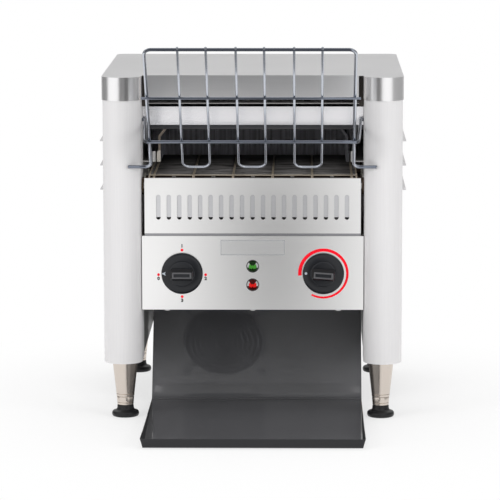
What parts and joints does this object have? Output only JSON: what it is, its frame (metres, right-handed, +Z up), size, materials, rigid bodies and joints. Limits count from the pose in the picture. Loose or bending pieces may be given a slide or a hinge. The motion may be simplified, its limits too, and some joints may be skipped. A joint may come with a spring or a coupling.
{
  "type": "conveyor toaster",
  "caption": "Stainless countertop conveyor toaster with a wire feed rack, wire belt between heating elements, crumb drawer, two knobs, cooling fan and a slide-out toast tray on conical legs.",
  "frame": {"origin": "on the table, under the middle of the machine's outline with its toast tray in", "axes": "+X to the right of the user who faces the machine, +Y towards its back, +Z up"},
  "size_m": [0.376, 0.5314, 0.4715],
  "materials": {
    "side_steel": "satin brushed stainless sheet",
    "cover_steel": "brushed stainless sheet",
    "panel_steel": "fine brushed stainless sheet",
    "polished_steel": "polished stainless sheet",
    "plate_steel": "satin plate, left bare",
    "inner_steel": "plain inner sheet",
    "oven_steel": "heat-darkened sheet",
    "tray_steel": "dark semi-gloss sheet",
    "belt_wire": "heat-tinted wire",
    "rack_wire": "bright wire",
    "shaft_steel": "turned steel",
    "drive_steel": "blackened steel",
    "bronze": "oiled bronze",
    "heater": "heat-tinted tube",
    "ceramic": "fired ceramic",
    "motor_metal": "painted motor",
    "fan_plastic": "black moulding",
    "switch_plastic": "pale moulding",
    "knob_black": "black moulding",
    "green_lens": "clear green",
    "red_lens": "clear red",
    "leg_steel": "turned stainless",
    "foot_rubber": "black rubber"
  },
  "bodies": {
    "chassis": {"left_side_panel": "side_steel", "right_side_panel": "side_steel", "top_cover": "cover_steel", "back_panel": "side_steel", "base_frame": "inner_steel", "left_side_plate": "inner_steel", "right_side_plate": "inner_steel", "control_panel": "panel_steel", "maker_plate": "plate_steel", "control_box": "inner_steel", "control_box_lid": "inner_steel", "front_shield": "polished_steel", "inner_cover": "inner_steel", "oven_hood": "oven_steel", "belt_guides": "inner_steel", "rear_chute": "inner_steel", "wire_belt": "belt_wire", "shaft_bushings": "bronze", "drive_chain": "drive_steel", "gear_motor": "motor_metal", "upper_element_front": "heater", "upper_element_rear": "heater", "lower_element_front": "heater", "lower_element_rear": "heater", "element_insulators": "ceramic", "fan_frame": "fan_plastic", "fan_guard": "rack_wire", "selector_switch": "switch_plastic", "speed_control": "switch_plastic", "green_lamp": "green_lens", "red_lamp": "red_lens", "tray_studs": "fan_plastic", "terminal_block": "ceramic", "cord_gland": "fan_plastic", "body_screws": "shaft_steel", "front_left_leg": "leg_steel", "front_right_leg": "leg_steel", "rear_left_leg": "leg_steel", "rear_right_leg": "leg_steel"},
    "crumb_drawer": {"drawer_front": "panel_steel", "crumb_tray": "inner_steel"},
    "drive_roller": {"drive_shaft": "shaft_steel", "drive_wheels": "shaft_steel", "drive_sprocket": "drive_steel"},
    "idler_roller": {"idler_shaft": "shaft_steel", "idler_wheels": "shaft_steel"},
    "motor_output": {"motor_sprocket": "drive_steel"},
    "fan_wheel": {"fan_rotor": "fan_plastic"},
    "selector": {"selector_knob": "knob_black", "selector_spindle": "shaft_steel"},
    "speed_dial": {"speed_knob": "knob_black", "speed_spindle": "shaft_steel"},
    "tray": {"toast_tray": "tray_steel"},
    "rack": {"feed_rack": "rack_wire"},
    "foot_front_left": {"front_left_foot": "foot_rubber"},
    "foot_front_right": {"front_right_foot": "foot_rubber"},
    "foot_rear_left": {"rear_left_foot": "foot_rubber"},
    "foot_rear_right": {"rear_right_foot": "foot_rubber"}
  },
  "joints": [
    {"name": "rack_lift", "type": "hinge", "parent": "chassis", "child": "rack", "pos_m": [0, -0.04895, 0.366], "axis": [-1, 0, 0], "range_deg": [0, 45]},
    {"name": "tray_slide", "type": "slide", "parent": "chassis", "child": "tray", "axis": [0, -1, 0], "range_m": [0, 0.2]},
    {"name": "crumb_drawer_slide", "type": "slide", "parent": "chassis", "child": "crumb_drawer", "axis": [0, -1, 0], "range_m": [0, 0.19]},
    {"name": "selector_turn", "type": "hinge", "parent": "chassis", "child": "selector", "pos_m": [-0.0866, -0.07595, 0.1793], "axis": [0, 1, 0], "range_deg": [0, 270]},
    {"name": "speed_turn", "type": "hinge", "parent": "chassis", "child": "speed_dial", "pos_m": [0.0866, -0.07595, 0.1793], "axis": [0, 1, 0], "range_deg": [0, 299]},
    {"name": "drive_shaft_spin", "type": "hinge", "parent": "chassis", "child": "drive_roller", "pos_m": [0, 0.15905, 0.2848], "axis": [1, 0, 0], "continuous": true},
    {"name": "idler_shaft_spin", "type": "hinge", "parent": "chassis", "child": "idler_roller", "pos_m": [0, -0.05395, 0.2848], "axis": [1, 0, 0], "continuous": true},
    {"name": "motor_output_spin", "type": "hinge", "parent": "chassis", "child": "motor_output", "pos_m": [0, 0.00605, 0.1823], "axis": [1, 0, 0], "continuous": true},
    {"name": "fan_spin", "type": "hinge", "parent": "chassis", "child": "fan_wheel", "pos_m": [-0.041, 0.00705, 0.15], "axis": [0, 0, 1], "continuous": true},
    {"name": "foot_front_left_screw", "type": "slide", "parent": "chassis", "child": "foot_front_left", "axis": [0, 0, -1], "range_m": [0, 0.008]},
    {"name": "foot_front_right_screw", "type": "slide", "parent": "chassis", "child": "foot_front_right", "axis": [0, 0, -1], "range_m": [0, 0.008]},
    {"name": "foot_rear_left_screw", "type": "slide", "parent": "chassis", "child": "foot_rear_left", "axis": [0, 0, -1], "range_m": [0, 0.008]},
    {"name": "foot_rear_right_screw", "type": "slide", "parent": "chassis", "child": "foot_rear_right", "axis": [0, 0, -1], "range_m": [0, 0.008]}
  ],
  "couplings": [
    {"joint": "idler_shaft_spin", "follows": "drive_shaft_spin", "ratio": 1},
    {"joint": "motor_output_spin", "follows": "drive_shaft_spin", "ratio": 1.75}
  ]
}
